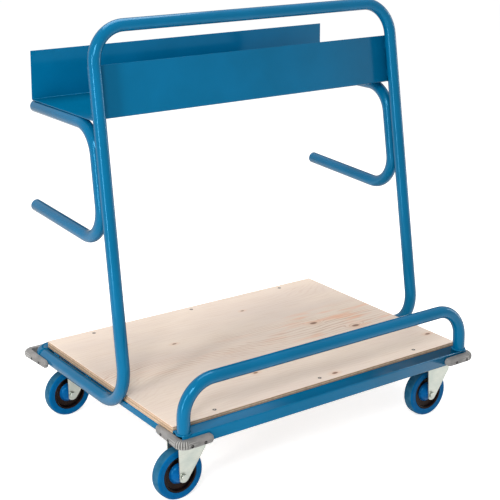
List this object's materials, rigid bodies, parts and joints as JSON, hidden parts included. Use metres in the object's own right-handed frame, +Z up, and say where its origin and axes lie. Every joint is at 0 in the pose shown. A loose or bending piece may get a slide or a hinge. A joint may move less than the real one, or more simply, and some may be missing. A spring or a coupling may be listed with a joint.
{
  "type": "material cart",
  "caption": "Two-level material cart: plywood deck on a steel frame with swivel casters, a leaning tube hoop with a folded tray and hook arms, a low front rail and rubber corner pads.",
  "frame": {"origin": "on the floor, under the middle of the cart's length and width", "axes": "+X along the deck's length, +Y to the rear, where the tray and hook arms point, +Z up; the low rail is at -Y"},
  "size_m": [1.0592, 0.8058, 1.1738],
  "materials": {
    "blue_paint": "glossy blue powder coat",
    "plywood": "clear-lacquered softwood plywood",
    "dark_steel": "blackened screw heads",
    "zinc_plate": "bright zinc plating",
    "grey_rubber": "matt moulded grey rubber",
    "blue_rubber": "smooth non-marking blue rubber",
    "black_plastic": "glossy moulded black plastic",
    "blue_plastic": "glossy moulded blue plastic"
  },
  "bodies": {
    "cart": {"deck_board": "plywood", "deck_screw_front_1": "dark_steel", "deck_screw_front_2": "dark_steel", "deck_screw_front_3": "dark_steel", "deck_screw_rear_1": "dark_steel", "deck_screw_rear_2": "dark_steel", "deck_screw_rear_3": "dark_steel", "frame_side_left": "blue_paint", "frame_side_right": "blue_paint", "frame_cross_front": "blue_paint", "frame_cross_middle": "blue_paint", "frame_cross_rear": "blue_paint", "frame_front_ledge": "blue_paint", "corner_plate_front_left": "blue_paint", "corner_plate_front_right": "blue_paint", "corner_plate_rear_left": "blue_paint", "corner_plate_rear_right": "blue_paint", "hoop": "blue_paint", "rear_bar": "blue_paint", "low_rail": "blue_paint", "tray": "blue_paint", "hook_arm_left": "blue_paint", "hook_arm_right": "blue_paint", "corner_pad_front_left": "grey_rubber", "corner_pad_front_right": "grey_rubber", "corner_pad_rear_left": "grey_rubber", "corner_pad_rear_right": "grey_rubber", "caster_head_front_left": "zinc_plate", "caster_head_front_right": "zinc_plate", "caster_head_rear_left": "zinc_plate", "caster_head_rear_right": "zinc_plate"},
    "swivel_front_left": {"fork_front_left": "zinc_plate", "axle_front_left": "zinc_plate"},
    "swivel_front_right": {"fork_front_right": "zinc_plate", "axle_front_right": "zinc_plate"},
    "swivel_rear_left": {"fork_rear_left": "zinc_plate", "axle_rear_left": "zinc_plate"},
    "swivel_rear_right": {"fork_rear_right": "zinc_plate", "axle_rear_right": "zinc_plate"},
    "wheel_front_left": {"tyre_front_left": "blue_rubber", "wheel_centre_front_left": "black_plastic", "hub_front_left": "blue_plastic"},
    "wheel_front_right": {"tyre_front_right": "blue_rubber", "wheel_centre_front_right": "black_plastic", "hub_front_right": "blue_plastic"},
    "wheel_rear_left": {"tyre_rear_left": "blue_rubber", "wheel_centre_rear_left": "black_plastic", "hub_rear_left": "blue_plastic"},
    "wheel_rear_right": {"tyre_rear_right": "blue_rubber", "wheel_centre_rear_right": "black_plastic", "hub_rear_right": "blue_plastic"}
  },
  "joints": [
    {"name": "front_left_swivel", "type": "hinge", "parent": "cart", "child": "swivel_front_left", "pos_m": [-0.419, -0.29715, 0.148], "axis": [0, 0, 1], "continuous": true},
    {"name": "front_left_spin", "type": "hinge", "parent": "swivel_front_left", "child": "wheel_front_left", "pos_m": [-0.439, -0.29715, 0.067], "axis": [0, 1, 0], "continuous": true},
    {"name": "front_right_swivel", "type": "hinge", "parent": "cart", "child": "swivel_front_right", "pos_m": [0.419, -0.29715, 0.148], "axis": [0, 0, 1], "continuous": true},
    {"name": "front_right_spin", "type": "hinge", "parent": "swivel_front_right", "child": "wheel_front_right", "pos_m": [0.399, -0.29715, 0.067], "axis": [0, 1, 0], "continuous": true},
    {"name": "rear_left_swivel", "type": "hinge", "parent": "cart", "child": "swivel_rear_left", "pos_m": [-0.419, 0.29685, 0.148], "axis": [0, 0, 1], "continuous": true},
    {"name": "rear_left_spin", "type": "hinge", "parent": "swivel_rear_left", "child": "wheel_rear_left", "pos_m": [-0.439, 0.29685, 0.067], "axis": [0, 1, 0], "continuous": true},
    {"name": "rear_right_swivel", "type": "hinge", "parent": "cart", "child": "swivel_rear_right", "pos_m": [0.419, 0.29685, 0.148], "axis": [0, 0, 1], "continuous": true},
    {"name": "rear_right_spin", "type": "hinge", "parent": "swivel_rear_right", "child": "wheel_rear_right", "pos_m": [0.399, 0.29685, 0.067], "axis": [0, 1, 0], "continuous": true}
  ]
}
